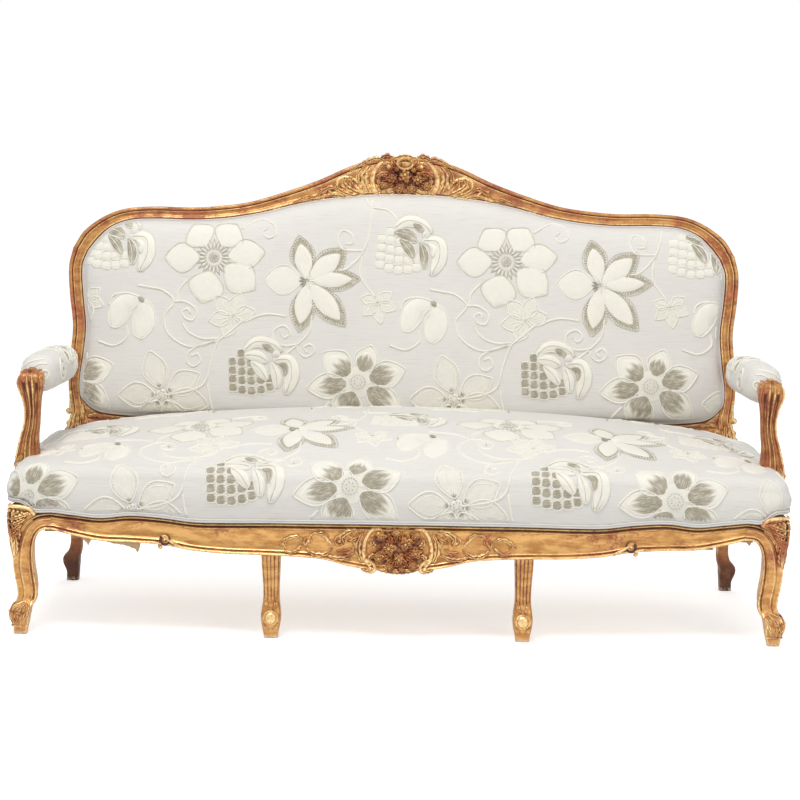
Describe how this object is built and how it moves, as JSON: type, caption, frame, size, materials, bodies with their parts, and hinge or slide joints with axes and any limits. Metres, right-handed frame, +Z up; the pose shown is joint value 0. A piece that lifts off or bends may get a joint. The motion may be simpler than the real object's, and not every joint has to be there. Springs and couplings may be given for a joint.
{
  "type": "settee",
  "caption": "Long upholstered settee with a carved and moulded gilt show-wood frame, curved legs, padded open arms, arched crest and sprung seat.",
  "frame": {"origin": "on the floor, below the middle of the settee's bounding box", "axes": "+X along the seat, to the right seen from the front; -Y to the front; +Z up"},
  "size_m": [1.743, 0.7361, 1.0561],
  "materials": {
    "gilt": "water gilding over red bole, worn and toned",
    "dark_wood": "toned beech, waxed",
    "raw_wood": "unfinished beech",
    "screw": "plain",
    "spring": "copper-washed wire",
    "webbing": "woven jute",
    "hessian": "woven jute",
    "stuffing": "curled horsehair under calico",
    "cover": "embroidered floral linen",
    "welt": "double welt cord",
    "lining": "thin woven cotton"
  },
  "bodies": {
    "root": {"apron_cartouche": "gilt", "arm_left": "gilt", "arm_pad_left": "cover", "arm_pad_right": "cover", "arm_right": "gilt", "arm_support_left": "gilt", "arm_support_right": "gilt", "back_bottom_rail": "gilt", "back_cover": "cover", "back_hessian": "hessian", "back_stuffing": "stuffing", "back_webbing": "webbing", "back_welt": "welt", "corner_block_screws": "screw", "corner_blocks": "raw_wood", "crest_cartouche": "gilt", "crest_rail": "gilt", "dust_cover": "lining", "front_leg_left": "gilt", "front_leg_right": "gilt", "front_rail": "gilt", "middle_leg_left": "gilt", "middle_leg_right": "gilt", "outside_back": "cover", "rear_post_left": "gilt", "rear_post_right": "gilt", "rear_seat_rail": "raw_wood", "seat_brace_left": "raw_wood", "seat_brace_right": "raw_wood", "seat_cover": "cover", "seat_hessian": "hessian", "seat_springs": "spring", "seat_stuffing": "stuffing", "seat_webbing": "webbing", "seat_welt": "welt", "side_rail_left": "gilt", "side_rail_right": "gilt"}
  },
  "joints": []
}
